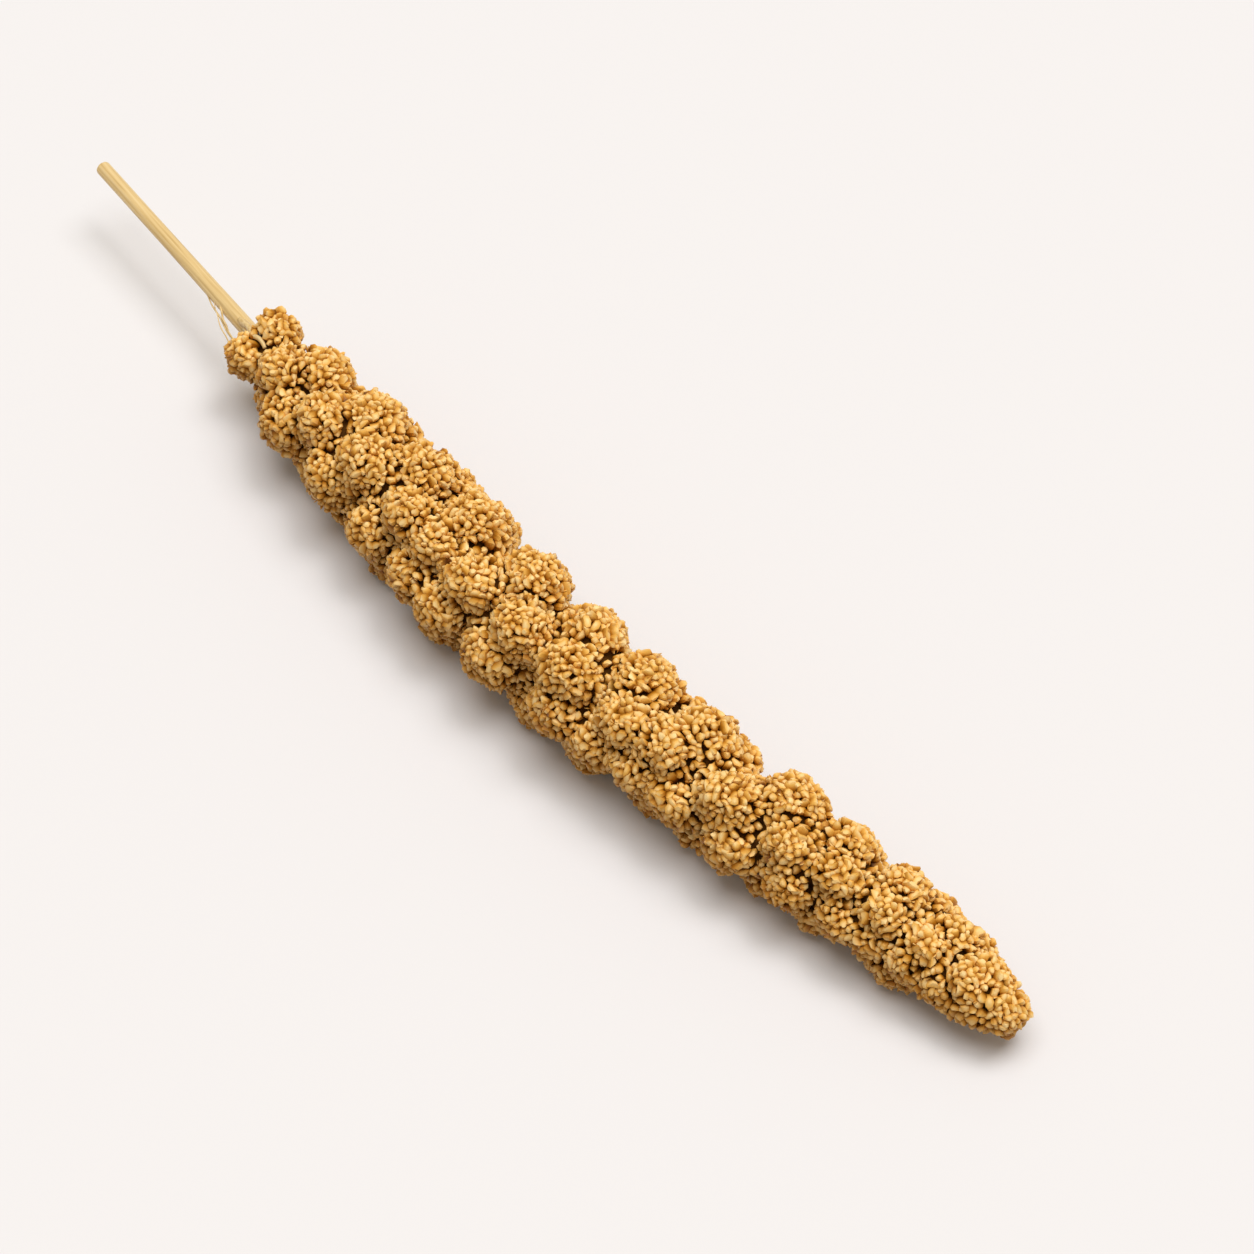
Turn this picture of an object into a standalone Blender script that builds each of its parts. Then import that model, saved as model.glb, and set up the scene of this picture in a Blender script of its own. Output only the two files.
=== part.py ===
"""Millet seed head, cut and lying down: a straw stem that runs on through the head as its rachis,
and the head itself, about ninety round lobes of small grains in six staggered rows.

X runs from the cut end of the stem to the tip, Z is up and the origin is at the bottom centre.
The lobes are laid out in straight head space (station along the stem, and across it sideways and
up), where their skin is worked out by rays from the rachis, and are then bent onto the stem's line.
"""
import math

import bpy
import numpy as np
from mathutils import Vector
from mathutils.geometry import delaunay_2d_cdt

MM = 0.001

# Stations are millimetres along X from the base of the head, angles are degrees round the rachis
# from the level front side, 90 being up. Curves are (station, value) knots, values in millimetres.
ORIGIN_STATION = 84.9
SIDE = ((-54, 8.25), (0, 4.45), (40, 0.95), (80, -2.35), (120, -2.15), (160, 0.95), (180, 4.35),
        (193, 6.55), (206, 8.05), (226, 8.95))
HEIGHT = ((-54, 14.4), (0, 12.8), (60, 12.7), (130, 12.7), (175, 11.2), (205, 9.0), (226, 7.6))

STEM_START = -52.6
RACHIS_END = 204.0
STEM_RADIUS = ((-52.6, 1.55), (-20, 1.6), (0, 1.75), (60, 1.5), (140, 1.1), (204, 0.6))
STEM_SIDES = 12
STEM_STEP = 9.0
STEM_GAP = 0.36
STEM_ROUNDING = 0.4

# Rows of lobes: the three that face front and up have their lobes at measured stations
FRONT_ROWS = (
    (2, (8.8, 28.6, 46.3, 61, 75, 84.5, 99.5, 117, 127, 137.5, 147.3, 160.6, 173.2, 184.4, 190.5, 199, 206, 212.5)),
    (62, (20.6, 36.9, 52.3, 67.4, 76.2, 88.8, 103, 116, 131.8, 140.5, 156, 170.8, 181, 191.5, 200.7, 210.5)),
    (122, (9.2, 26.4, 43, 60, 77, 95.5, 112.8, 128, 144, 165, 177.8, 190.8, 204, 213)),
)
BACK_ROWS = ((182, 19.0), (242, 10.0), (302, 20.5))
BACK_PITCH = 14.6
TIP_LOBE = (216.5, 5.6)
SPREAD = ((0, 4.0), (9, 4.1), (27, 6.2), (44, 7.1), (60, 7.9), (115, 8.1), (140, 7.0), (170, 6.5),
          (190, 5.7), (205, 4.6), (216, 2.6))
LOBE_RADIUS = ((0, 4.4), (9, 4.6), (27, 6.0), (60, 6.4), (115, 6.5), (150, 6.1), (190, 5.6), (216, 5.0))
LOBE_STRETCH = 1.15
LOBE_SCATTER = 0.05
ANGLE_SCATTER = 5.0
ROOM = 14.6

# The slim body that the lobes grow from
CORE_RADIUS = ((7.5, 3.3), (14, 4.6), (40, 6.6), (70, 7.8), (120, 8.0), (160, 6.9), (195, 6.0), (213, 5.0))
CORE_START = 7.5
CORE_END = 213.0
CORE_STEP = 4.0

# Grains, larger than life, as relief on the lobes
GRAIN = 3.3
GRAIN_DEPTH = 1.05
GRAIN_THINNING = 0.74
SEED = 11

# The rays leave the rachis squarely between these stations and fan out from them beyond
FAN_BASE = 12.0
FAN_TIP = 214.0
FAN_RADIUS = 10.0
MOUTH_STATION = 5.0
TIP_RING_ANGLE = 78.0
TIP_RING_SIDES = 6
RIM_MARGIN = 0.3
RIM_FADE = 0.7

STRAW = (0.80, 0.62, 0.33, 1.0)
GOLD = (0.62, 0.36, 0.12, 1.0)


def smooth(at, knots):
    """Cubic Hermite curve through the knots, level beyond the first and the last."""
    place, value = np.array(knots, float).T
    slope = np.gradient(value, place)
    at = np.clip(np.asarray(at, float), place[0], place[-1])
    k = np.clip(np.searchsorted(place, at) - 1, 0, len(place) - 2)
    span = place[k + 1] - place[k]
    t = (at - place[k]) / span
    blend = 3 * t ** 2 - 2 * t ** 3
    bulge = slope[k] * (t - 2 * t ** 2 + t ** 3) + slope[k + 1] * (t ** 3 - t ** 2)
    return value[k] * (1 - blend) + value[k + 1] * blend + span * bulge


def bend(points):
    """Straight head space (station, across, up) bent onto the stem's line, in millimetres."""
    station, across, up = points.T
    step = 0.5
    inside = np.clip(station, STEM_START + step, TIP_LOBE[0])
    sway = (smooth(inside + step, SIDE) - smooth(inside - step, SIDE)) / (2 * step)
    climb = (smooth(inside + step, HEIGHT) - smooth(inside - step, HEIGHT)) / (2 * step)
    along = np.stack([np.ones_like(sway), sway, climb], axis=1)
    along /= np.linalg.norm(along, axis=1, keepdims=True)
    front = np.stack([sway, -np.ones_like(sway), np.zeros_like(sway)], axis=1)
    front /= np.linalg.norm(front, axis=1, keepdims=True)
    upward = np.cross(front, along)
    line = np.stack([inside - ORIGIN_STATION, smooth(inside, SIDE), smooth(inside, HEIGHT)], axis=1)
    beyond = (station - inside)[:, None] * along
    return line + beyond + across[:, None] * front + up[:, None] * upward


def row_of_lobes(angle, stations, chance):
    """Lobes of one row as (station, across, up, radius); a lobe with more room on its row is larger."""
    stations = np.array(stations, float)
    room = np.gradient(stations)
    radius = smooth(stations, LOBE_RADIUS) * np.clip(room / ROOM, 0.7, 1.25) ** 0.5
    radius *= 1 + LOBE_SCATTER * chance.uniform(-1, 1, len(stations))
    turn = np.radians(angle + ANGLE_SCATTER * chance.uniform(-1, 1, len(stations)))
    spread = smooth(stations, SPREAD)
    return np.stack([stations, spread * np.cos(turn), spread * np.sin(turn), radius], axis=1)


def all_lobes(chance):
    """Every round body of the head: the lobes, the tip and the chain of the core."""
    rows = [row_of_lobes(angle, stations, chance) for angle, stations in FRONT_ROWS]
    for angle, start in BACK_ROWS:
        count = int((CORE_END - 4 - start) / BACK_PITCH) + 1
        stations = start + BACK_PITCH * (np.arange(count) + 0.18 * chance.uniform(-1, 1, count))
        rows.append(row_of_lobes(angle, stations, chance))
    rows.append(np.array([[TIP_LOBE[0], 0, 0, TIP_LOBE[1]]]))
    chain = np.arange(CORE_START, CORE_END, CORE_STEP)
    rows.append(np.stack([chain, 0 * chain, 0 * chain, smooth(chain, CORE_RADIUS)], axis=1))
    return np.concatenate(rows)


def reach(origin, heading, bodies):
    """Distance along each ray to the outermost body that it meets."""
    squash = np.array([1 / LOBE_STRETCH, 1, 1])
    q = (heading * squash)[:, None, :]
    c = (bodies[None, :, :3] - origin[:, None, :]) * squash
    a = (q * q).sum(-1)
    b = (q * c).sum(-1)
    room = b * b - a * ((c * c).sum(-1) - bodies[None, :, 3] ** 2)
    return np.where(room > 0, (b + np.sqrt(np.maximum(room, 0))) / a, 0).max(axis=1)


def rays(flat):
    """Origins and headings of the rays at (u, turn) on the unrolled skin.

    u is the station over FAN_RADIUS between the two fans. In a fan it goes on as Mercator's
    projection of the slant angle, so that shapes are kept all the way to the ends.
    """
    u, turn = flat.T
    length = (FAN_TIP - FAN_BASE) / FAN_RADIUS
    over = np.maximum(u - length, 0) + np.minimum(u, 0)
    slant = 2 * np.arctan(np.exp(over)) - math.pi / 2
    station = FAN_BASE + np.clip(u, 0, length) * FAN_RADIUS
    origin = np.stack([station, 0 * u, 0 * u], axis=1)
    out = np.cos(slant)
    return origin, np.stack([np.sin(slant), out * np.cos(turn), out * np.sin(turn)], axis=1)


def unroll(points):
    """(u, turn) of points in straight head space: the inverse of rays."""
    station, across, up = points.T
    away = np.hypot(across, up)
    over = np.maximum(station - FAN_TIP, 0) + np.minimum(station - FAN_BASE, 0)
    slant = np.arctan2(over, away)
    u = (np.clip(station, FAN_BASE, FAN_TIP) - FAN_BASE) / FAN_RADIUS + np.arctanh(np.sin(slant))
    return np.stack([u, np.arctan2(up, across) % (2 * math.pi)], axis=1)


def even_points(body):
    """Points spread evenly over one body, a grain apart, along a golden-angle spiral."""
    station, across, up, radius = body
    count = int(4 * math.pi * radius ** 2 * LOBE_STRETCH / (0.866 * GRAIN ** 2))
    k = np.arange(count) + 0.5
    height = 1 - 2 * k / count
    turn = math.pi * (3 - math.sqrt(5)) * k + station
    ring = np.sqrt(1 - height ** 2)
    unit = np.stack([height * LOBE_STRETCH, ring * np.cos(turn), ring * np.sin(turn)], axis=1)
    return np.array([station, across, up]) + radius * unit


def grain_tops(bodies):
    """(u, turn) of the grains' tops, on the outside of all the bodies together."""
    low, high = skin_ends()
    kept = np.zeros((0, 3))
    for body in bodies:
        points = even_points(body)
        flat = unroll(points)
        origin, heading = rays(flat)
        distance = np.linalg.norm(points - origin, axis=1)
        seen = distance > reach(origin, heading, bodies) - 0.05
        seen &= (flat[:, 0] > low + RIM_MARGIN) & (flat[:, 0] < high - RIM_MARGIN)
        for point in points[seen]:
            if np.all(np.linalg.norm(kept - point, axis=1) > GRAIN * GRAIN_THINNING):
                kept = np.vstack([kept, point])
    return unroll(kept)


def tunnel_radius(station):
    return smooth(station, STEM_RADIUS) + STEM_GAP


def skin_ends():
    """u of the rim where the stem enters, and of the last ring before the tip."""
    rim = math.atan2(MOUTH_STATION - FAN_BASE, tunnel_radius(MOUTH_STATION))
    tip = math.radians(TIP_RING_ANGLE)
    return math.atanh(math.sin(rim)), (FAN_TIP - FAN_BASE) / FAN_RADIUS + math.atanh(math.sin(tip))


def around(sides):
    return 2 * math.pi * np.arange(sides) / sides


def level_ring(u, sides):
    return np.stack([np.full(sides, u), around(sides)], axis=1)


def rings_of_tube(stations, radii):
    """Vertices of a tube round the rachis, ring after ring, in straight head space."""
    turn = around(STEM_SIDES)
    out = np.stack([0 * turn, np.cos(turn), np.sin(turn)], axis=1)
    centres = np.stack([stations, 0 * stations, 0 * stations], axis=1)
    return (centres[:, None, :] + radii[:, None, None] * out).reshape(-1, 3)


def side_of(line, point):
    return line[0] * point[1] - line[1] * point[0]


def triangulate(flat):
    """Delaunay triangles of points on the unrolled skin, joined across turn 0.

    The points are laid out three times, a full turn apart, and the triangles of the middle
    copy are kept, each as its points' numbers and its corners, anticlockwise.
    """
    full = 2 * math.pi
    copies = np.concatenate([flat, flat + [0, full], flat - [0, full]])
    where, _, triangles, origins, _, _ = delaunay_2d_cdt([Vector(p) for p in copies], [], [], 0, 1e-7)
    kept = []
    for triangle in triangles:
        corners = np.array([where[k] for k in triangle])
        numbers = [origins[k][0] % len(flat) for k in triangle]
        area = side_of(corners[1] - corners[0], corners[2] - corners[0])
        if 0 <= corners[:, 1].mean() < full and abs(area) > 1e-7:
            way = 1 if area > 0 else -1
            kept.append((numbers[::way], corners[::way]))
    return kept


def relief_faces(triangles, count):
    """Faces that make a little hill of each point: round it run the middles of its triangles.

    Beside an edge p-q with middles m and n the faces are p-n-m and q-m-n, or p-q-m and q-p-n
    where the two middles do not face each other across the edge.
    """
    beside = {}
    for number, (ids, corners) in enumerate(triangles):
        for k in range(3):
            j = (k + 1) % 3
            beside[ids[k], ids[j]] = (number, corners[k], corners[j])
    faces = []
    for (p, q), (m, at_p, at_q) in beside.items():
        if (q, p) not in beside:
            faces.append((p, q, count + m))
        elif p < q:
            n, _, other_p = beside[q, p]
            middle = triangles[m][1].mean(axis=0)
            line = triangles[n][1].mean(axis=0) + at_p - other_p - middle
            if side_of(line, at_p - middle) * side_of(line, at_q - middle) < 0:
                faces += [(p, count + n, count + m), (q, count + m, count + n)]
            else:
                faces += [(p, q, count + m), (q, p, count + n)]
    return faces


def skin(bodies):
    """Vertices and faces of the head's outside: first the stem's rim, then the tip's ring."""
    low, high = skin_ends()
    flat = np.concatenate([level_ring(low, STEM_SIDES), level_ring(high, TIP_RING_SIDES), grain_tops(bodies)])
    triangles = triangulate(flat)
    origin, heading = rays(flat)
    tops = origin + heading * reach(origin, heading, bodies)[:, None]
    rim_station = np.array([MOUTH_STATION])
    tops[:STEM_SIDES] = rings_of_tube(rim_station, tunnel_radius(rim_station))
    middles = np.array([corners.mean(axis=0) for _, corners in triangles])
    origin, heading = rays(middles)
    depth = GRAIN_DEPTH * np.clip((middles[:, 0] - low) / RIM_FADE, 0, 1)
    valleys = origin + heading * (reach(origin, heading, bodies) - depth)[:, None]
    return np.concatenate([tops, valleys]), relief_faces(triangles, len(flat))


def rachis_stations():
    return np.linspace(MOUTH_STATION, RACHIS_END, round((RACHIS_END - MOUTH_STATION) / STEM_STEP) + 1)


def tube_faces(rings):
    """Faces between rings of vertex numbers, facing the tube's inside."""
    faces = []
    for near, far in zip(rings, rings[1:]):
        for j in range(STEM_SIDES):
            i = (j + 1) % STEM_SIDES
            faces.append((near[j], near[i], far[i], far[j]))
    return faces


def fan_faces(ring, pole):
    return [(ring[j], ring[(j + 1) % len(ring)], pole) for j in range(len(ring))]


def turned(faces):
    return [face[::-1] for face in faces]


def head_shape():
    """The head: its skin, closed at the tip by a pole and at the base by the rachis's tunnel."""
    bodies = all_lobes(np.random.default_rng(SEED))
    outside, faces = skin(bodies)
    start = np.array([[FAN_TIP, 0, 0]])
    tip = start + [reach(start, np.array([[1.0, 0, 0]]), bodies)[0], 0, 0]
    stations = rachis_stations()[1:]
    tunnel = rings_of_tube(stations, tunnel_radius(stations))
    end = np.array([[RACHIS_END + STEM_ROUNDING + 1.4 * STEM_GAP, 0, 0]])
    pole = len(outside)
    rings = [list(range(STEM_SIDES))]
    rings += [list(range(k, k + STEM_SIDES)) for k in range(pole + 1, pole + 1 + len(tunnel), STEM_SIDES)]
    faces += turned(fan_faces(range(STEM_SIDES, STEM_SIDES + TIP_RING_SIDES), pole))
    faces += tube_faces(rings) + fan_faces(rings[-1], pole + 1 + len(tunnel))
    vertices = bend(np.concatenate([outside, tip, tunnel, end]))
    vertices[:, 2] = np.maximum(vertices[:, 2], 0)
    return vertices, faces


def stem_shape():
    """The cut stem and the rachis that it becomes inside the head."""
    outer = np.linspace(STEM_START, MOUTH_STATION, round((MOUTH_STATION - STEM_START) / STEM_STEP) + 1)
    stations = np.concatenate([outer, rachis_stations()[1:]])
    radii = smooth(stations, STEM_RADIUS)
    first = STEM_START - STEM_ROUNDING
    stations = np.concatenate([[first], stations])
    radii = np.concatenate([[radii[0] - STEM_ROUNDING], radii])
    tube = rings_of_tube(stations, radii)
    ends = np.array([[first, 0, 0], [RACHIS_END + STEM_ROUNDING, 0, 0]])
    rings = [list(range(k, k + STEM_SIDES)) for k in range(0, len(tube), STEM_SIDES)]
    faces = turned(tube_faces(rings)) + fan_faces(rings[0], len(tube))
    faces += turned(fan_faces(rings[-1], len(tube) + 1))
    return bend(np.concatenate([tube, ends])), faces


def make_material(name, colour, roughness):
    material = bpy.data.materials.new(name)
    material.use_nodes = True
    shader = material.node_tree.nodes["Principled BSDF"]
    shader.inputs["Base Color"].default_value = colour
    shader.inputs["Roughness"].default_value = roughness
    return material


def make_object(name, shape, material):
    vertices, faces = shape
    mesh = bpy.data.meshes.new(name)
    mesh.from_pydata([tuple(v) for v in vertices * MM], [], faces)
    mesh.shade_smooth()
    mesh.set_sharp_from_angle(angle=math.radians(40))
    mesh.materials.append(material)
    thing = bpy.data.objects.new(name, mesh)
    bpy.context.scene.collection.objects.link(thing)
    return thing


def main():
    for old in list(bpy.data.objects):
        bpy.data.objects.remove(old, do_unlink=True)
    make_object("stem", stem_shape(), make_material("straw", STRAW, 0.6))
    make_object("seed_head", head_shape(), make_material("gold", GOLD, 0.55))


main()
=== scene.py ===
import math

import bpy
import numpy as np
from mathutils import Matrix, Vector
from mathutils.kdtree import KDTree


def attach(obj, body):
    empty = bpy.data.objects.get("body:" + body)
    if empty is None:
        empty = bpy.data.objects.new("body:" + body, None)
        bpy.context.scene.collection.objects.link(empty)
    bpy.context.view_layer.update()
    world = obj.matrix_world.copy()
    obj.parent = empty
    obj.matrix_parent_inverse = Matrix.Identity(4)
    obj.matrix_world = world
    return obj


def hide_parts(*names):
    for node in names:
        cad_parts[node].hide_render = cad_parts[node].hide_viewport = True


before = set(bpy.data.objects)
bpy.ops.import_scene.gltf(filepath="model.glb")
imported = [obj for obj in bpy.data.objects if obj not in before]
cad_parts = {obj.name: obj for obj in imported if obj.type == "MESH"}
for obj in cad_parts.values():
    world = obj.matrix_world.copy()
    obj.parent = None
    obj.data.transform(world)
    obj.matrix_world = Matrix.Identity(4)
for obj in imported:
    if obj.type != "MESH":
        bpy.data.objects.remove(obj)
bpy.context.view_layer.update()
mm = 0.001

# The stem's line: stations count from the base of the head, the origin is at originStation
lineSettings = {
    "originStation": 84.9,
    "first": -52.6,
    "last": 216.5,
    "side": ((-54, 8.25), (0, 4.45), (40, 0.95), (80, -2.35), (120, -2.15), (160, 0.95), (180, 4.35),
             (193, 6.55), (206, 8.05), (226, 8.95)),
    "height": ((-54, 14.4), (0, 12.8), (60, 12.7), (130, 12.7), (175, 11.2), (205, 9.0), (226, 7.6)),
}

# The round lobes: rows of (angle round the stem, stations), 0 degrees to the front and 90 up
lobeSettings = {
    "seed": 11,
    "frontRows": (
        (2, (8.8, 28.6, 46.3, 61, 75, 84.5, 99.5, 117, 127, 137.5, 147.3, 160.6, 173.2, 184.4, 190.5, 199,
             206, 212.5)),
        (62, (20.6, 36.9, 52.3, 67.4, 76.2, 88.8, 103, 116, 131.8, 140.5, 156, 170.8, 181, 191.5,
              200.7, 210.5)),
        (122, (9.2, 26.4, 43, 60, 77, 95.5, 112.8, 128, 144, 165, 177.8, 190.8, 204, 213)),
    ),
    "backRows": ((182, 19.0), (242, 10.0), (302, 20.5)),
    "backPitch": 14.6,
    "backEnd": 209.0,
    "backShuffle": 0.18,
    "tipLobe": (216.5, 5.6),
    "spread": ((0, 4.0), (9, 4.1), (27, 6.2), (44, 7.1), (60, 7.9), (115, 8.1), (140, 7.0), (170, 6.5),
               (190, 5.7), (205, 4.6), (216, 2.6)),
    "radius": ((0, 4.4), (9, 4.6), (27, 6.0), (60, 6.4), (115, 6.5), (150, 6.1), (190, 5.6), (216, 5.0)),
    "stretch": 1.15,
    "scatter": 0.05,
    "angleScatter": 5.0,
    "room": 14.6,
    "roomRange": (0.7, 1.25),
    "coreRadius": ((7.5, 3.3), (14, 4.6), (40, 6.6), (70, 7.8), (120, 8.0), (160, 6.9), (195, 6.0),
                   (213, 5.0)),
    "coreStart": 7.5,
    "coreEnd": 213.0,
    "coreStep": 4.0,
}


def smooth(at, knots):
    # Cubic Hermite curve through the knots, its slopes taken from the neighbours, level past the ends
    place, value = np.array(knots, float).T
    slope = np.gradient(value, place)
    at = np.clip(np.asarray(at, float), place[0], place[-1])
    k = np.clip(np.searchsorted(place, at) - 1, 0, len(place) - 2)
    span = place[k + 1] - place[k]
    t = (at - place[k]) / span
    blend = 3 * t ** 2 - 2 * t ** 3
    bulge = slope[k] * (t - 2 * t ** 2 + t ** 3) + slope[k + 1] * (t ** 3 - t ** 2)
    return value[k] * (1 - blend) + value[k + 1] * blend + span * bulge


def unitRows(vectors):
    return vectors / np.linalg.norm(vectors, axis=-1, keepdims=True)


def bend(points, step=0.5):
    # Point of the line at the station, plus across times the level normal, plus up times the upright one
    s = lineSettings
    station, across, up = points.T
    inside = np.clip(station, s["first"] + step, s["last"])
    sway = (smooth(inside + step, s["side"]) - smooth(inside - step, s["side"])) / (2 * step)
    climb = (smooth(inside + step, s["height"]) - smooth(inside - step, s["height"])) / (2 * step)
    along = unitRows(np.stack([np.ones_like(sway), sway, climb], axis=1))
    front = unitRows(np.stack([sway, -np.ones_like(sway), np.zeros_like(sway)], axis=1))
    upward = np.cross(front, along)
    side = smooth(inside, s["side"])
    height = smooth(inside, s["height"])
    line = np.stack([inside - s["originStation"], side, height], axis=1)
    return line + (station - inside)[:, None] * along + across[:, None] * front + up[:, None] * upward


def rowOfLobes(angle, stations, chance):
    # One row: radius from its curve, times the root of its share of room on the row, with some scatter;
    # centre at the spread and the angle
    s = lobeSettings
    stations = np.array(stations, float)
    room = np.gradient(stations)
    radius = smooth(stations, s["radius"]) * np.clip(room / s["room"], *s["roomRange"]) ** 0.5
    radius *= 1 + s["scatter"] * chance.uniform(-1, 1, len(stations))
    turn = np.radians(angle + s["angleScatter"] * chance.uniform(-1, 1, len(stations)))
    spread = smooth(stations, s["spread"])
    return np.stack([stations, spread * np.cos(turn), spread * np.sin(turn), radius], axis=1)


def layOutLobes():
    # Every round body of the head as (station, across, up, radius): rows, tip and the chain of the core
    s = lobeSettings
    chance = np.random.default_rng(s["seed"])
    rows = [rowOfLobes(angle, stations, chance) for angle, stations in s["frontRows"]]
    for angle, start in s["backRows"]:
        count = int((s["backEnd"] - start) / s["backPitch"]) + 1
        shuffle = s["backShuffle"] * chance.uniform(-1, 1, count)
        rows.append(rowOfLobes(angle, start + s["backPitch"] * (np.arange(count) + shuffle), chance))
    rows.append(np.array([[s["tipLobe"][0], 0, 0, s["tipLobe"][1]]]))
    chain = np.arange(s["coreStart"], s["coreEnd"], s["coreStep"])
    lobeCount = sum(len(row) for row in rows)
    rows.append(np.stack([chain, 0 * chain, 0 * chain, smooth(chain, s["coreRadius"])], axis=1))
    return np.concatenate(rows), lobeCount


def softMost(values, sharpness):
    # Logarithm of each row's summed exponentials: the greatest value, raised where others are near it
    most = values.max(axis=1, keepdims=True)
    return most[:, 0] + np.log(np.exp(sharpness * (values - most)).sum(axis=1)) / sharpness


def reach(origin, heading, sharpness):
    # Far root of the ray's meeting with each stretched ball, the soft greatest of them all
    squash = np.array([1 / lobeSettings["stretch"], 1, 1])
    q = (heading * squash)[:, None, :]
    c = (bodies[None, :, :3] - origin[:, None, :]) * squash
    a = (q * q).sum(-1)
    b = (q * c).sum(-1)
    room = b * b - a * ((c * c).sum(-1) - bodies[None, :, 3] ** 2)
    return softMost(np.where(room > 0, (b + np.sqrt(np.maximum(room, 0))) / a, 0), sharpness)


# Rays from the rachis, square to it from base to tip and fanned out past both ends
fanSettings = {"base": 12.0, "tip": 214.0, "radius": 10.0}


def raysAt(u, turn):
    # Square to the stem between the fans; in a fan u goes on as Mercator's projection of the slant
    f = fanSettings
    length = (f["tip"] - f["base"]) / f["radius"]
    over = np.maximum(u - length, 0) + np.minimum(u, 0)
    slant = 2 * np.arctan(np.exp(over)) - math.pi / 2
    origin = np.stack([f["base"] + np.clip(u, 0, length) * f["radius"], 0 * u, 0 * u], axis=1)
    out = np.cos(slant)
    return origin, np.stack([np.sin(slant), out * np.cos(turn), out * np.sin(turn)], axis=1)


def raysThrough(points):
    # The ray of the fans on which each point lies, and how far out it is
    f = fanSettings
    station = points[:, 0]
    origin = np.stack([np.clip(station, f["base"], f["tip"]), 0 * station, 0 * station], axis=1)
    away = points - origin
    far = np.linalg.norm(away, axis=1)
    return origin, away / far[:, None], far


def buildMesh(name, points, corners, sizes, uv, values=None):
    # Points in millimetres, the faces' corners one after another and the number of corners of each face
    mesh = bpy.data.meshes.new(name)
    mesh.vertices.add(len(points))
    mesh.vertices.foreach_set("co", (points * mm).astype(np.float32).ravel())
    mesh.loops.add(len(corners))
    mesh.loops.foreach_set("vertex_index", corners.astype(np.int32))
    starts = np.concatenate([[0], np.cumsum(sizes)[:-1]])
    mesh.polygons.add(len(sizes))
    mesh.polygons.foreach_set("loop_start", starts.astype(np.int32))
    mesh.polygons.foreach_set("use_smooth", np.ones(len(sizes), bool))
    mesh.update(calc_edges=True)
    layer = mesh.uv_layers.new(name="OFBake")
    layer.uv.foreach_set("vector", uv.astype(np.float32).ravel())
    for label, value in (values or {}).items():
        attribute = mesh.attributes.new(label, "FLOAT", "POINT")
        attribute.data.foreach_set("value", value.astype(np.float32).ravel())
    mesh.validate()
    thing = bpy.data.objects.new(name, mesh)
    bpy.context.scene.collection.objects.link(thing)
    return thing


def finishPiece(piece, material, node):
    piece.data.materials.append(material)
    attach(piece, "root")
    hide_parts(node)


def tubeFaces(rings, sides, flip=False):
    # Tube of rings closed by a pole before the first ring and one after the last: vertex 0 is the first
    # pole, then ring after ring, and the last vertex is the other pole. Hands back the faces' corners
    # one after another, the number of corners of each face, and uv that unrolls the tube
    j = np.arange(sides)
    i = (j + 1) % sides
    ring = 1 + sides * np.arange(rings - 1)[:, None]
    quads = np.stack([ring + j, ring + sides + j, ring + sides + i, ring + i], axis=2).reshape(-1, 4)
    last = 1 + sides * (rings - 1)
    start = np.stack([0 * j, 1 + j, 1 + i], axis=1)
    end = np.stack([last + j, 0 * j + last + sides, last + i], axis=1)
    x = j / sides
    width = 1 / sides
    y = (np.arange(rings - 1)[:, None] + 1) / (rings + 1) + 0 * x
    rise = 1 / (rings + 1)
    x2 = 0 * y + x
    quadUv = np.stack([x2, y, x2, y + rise, x2 + width, y + rise, x2 + width, y], axis=2)
    quadUv = quadUv.reshape(-1, 4, 2)
    low = 0 * x + rise
    startUv = np.stack([x + width / 2, 0 * x, x, low, x + width, low], axis=1).reshape(-1, 3, 2)
    top = 0 * x + rings * rise
    endUv = np.stack([x, top, x + width / 2, 0 * x + 1, x + width, top], axis=1).reshape(-1, 3, 2)
    groups = [(quads, quadUv), (start, startUv), (end, endUv)]
    if flip:
        groups = [(corners[:, ::-1], uv[:, ::-1]) for corners, uv in groups]
    corners = np.concatenate([group.reshape(-1) for group, _ in groups])
    uv = np.concatenate([group.reshape(-1, 2) for _, group in groups])
    sizes = np.concatenate([np.full(len(group), group.shape[1]) for group, _ in groups])
    return corners, sizes, uv


def buildPiece(name, points, faces, slot, material, node):
    # One whole piece, in place of the node
    corners, sizes, uv = faces
    finishPiece(buildMesh(name, points, corners, sizes, uv), material, node)
    print(name, "triangles:", (sizes - 2).sum())


bodies, lobeCount = layOutLobes()
print("lobes:", lobeCount, "core bodies:", len(bodies) - lobeCount)

# The head's skin: how sharply the lobes meet, and the lumps on them
skinSettings = {"sharpness": 1.5, "lumpSeed": 3, "lumpWaves": 9, "lumpLength": 5.5, "lumpHeight": 0.45,
                "lumpDrop": 0.4}


def lumps(points):
    # A few sine waves in fixed directions, between minus one and one
    s = skinSettings
    chance = np.random.default_rng(s["lumpSeed"])
    ways = unitRows(chance.normal(size=(s["lumpWaves"], 3)))
    start = chance.uniform(0, 2 * math.pi, s["lumpWaves"])
    waves = np.sin(points @ ways.T * (2 * math.pi / s["lumpLength"]) + start)
    return np.clip(waves.sum(axis=1) / math.sqrt(s["lumpWaves"]), -1, 1)


def skinLevel(points):
    # Soft greatest of each ball's radius less the distance from it, with the way out of the skin
    s = skinSettings
    stretch = np.array([lobeSettings["stretch"], 1, 1])
    away = (points[:, None, :] - bodies[None, :, :3]) / stretch
    far = np.linalg.norm(away, axis=2)
    inside = s["sharpness"] * (bodies[None, :, 3] - far)
    level = softMost(inside / s["sharpness"], s["sharpness"])
    share = np.exp(inside - s["sharpness"] * level[:, None])
    slope = (share[:, :, None] * away / far[:, :, None]).sum(axis=1) / stretch
    return level + s["lumpHeight"] * (lumps(points) - s["lumpDrop"]), slope


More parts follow.
